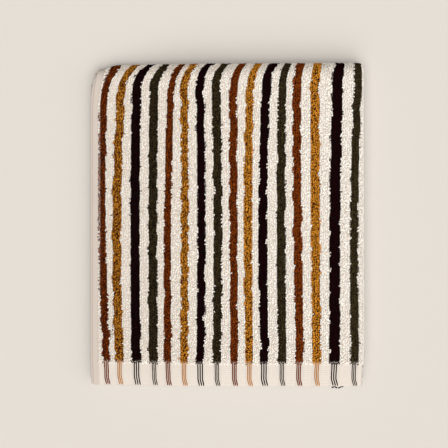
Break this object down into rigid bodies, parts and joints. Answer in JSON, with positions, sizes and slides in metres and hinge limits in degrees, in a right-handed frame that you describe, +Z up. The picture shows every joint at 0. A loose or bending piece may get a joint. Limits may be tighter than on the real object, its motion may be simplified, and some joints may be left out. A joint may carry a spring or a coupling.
{
  "type": "folded face towel",
  "caption": "Terry face towel with lengthwise coloured pile stripes, folded in half and then in thirds, lying flat.",
  "frame": {"origin": "middle of the folded towel's box, on the surface it lies on", "axes": "+Z up; +Y from the visible hem to the back fold; +X from the selvedges to the long fold"},
  "size_m": [0.2546, 0.2978, 0.0277],
  "materials": {
    "terry": "matte",
    "cream_pile": "matte",
    "rust_pile": "matte",
    "mustard_pile": "matte",
    "black_pile": "matte",
    "green_pile": "matte"
  },
  "bodies": {
    "root": {"towel": "terry"}
  },
  "joints": []
}
